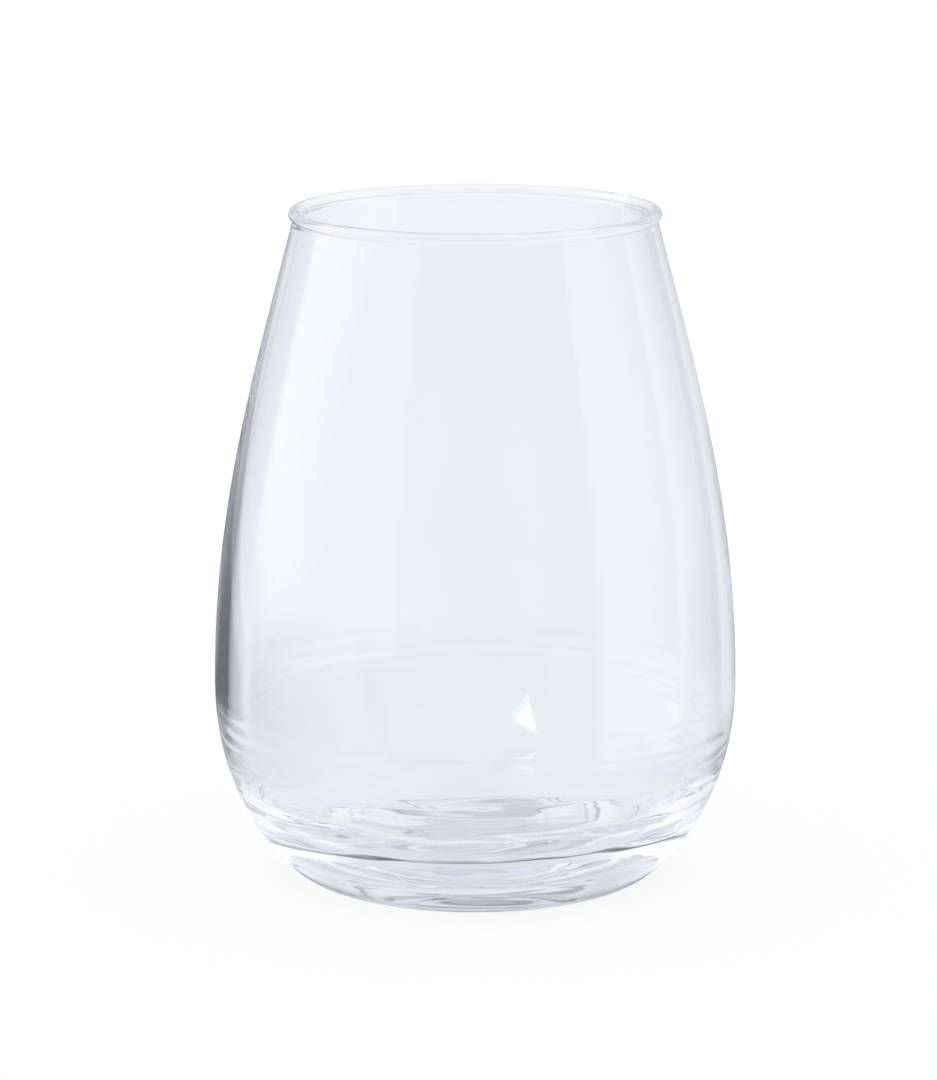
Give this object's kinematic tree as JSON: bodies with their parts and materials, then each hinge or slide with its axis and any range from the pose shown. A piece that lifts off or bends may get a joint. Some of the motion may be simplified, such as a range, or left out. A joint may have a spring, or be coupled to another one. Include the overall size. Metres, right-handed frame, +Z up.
{
  "type": "stemless wine glass",
  "caption": "Clear stemless wine glass with a thick hollowed base, a rounded bowl that draws in towards the top and a fire-polished rim, for serving and drinking wine.",
  "frame": {"origin": "On the table, on the axis of the glass, in the plane of the ring that it stands on", "axes": "+Z is up along the axis of the glass, towards the rim; X and Y lie in the table's plane and are interchangeable"},
  "size_m": [0.0936, 0.0936, 0.12],
  "materials": {
    "clear_glass": "clear soda-lime glass, fire polished, with faint ripples at the heel and floor"
  },
  "bodies": {
    "root": {"base": "clear_glass", "bowl": "clear_glass", "rim": "clear_glass"}
  },
  "joints": []
}
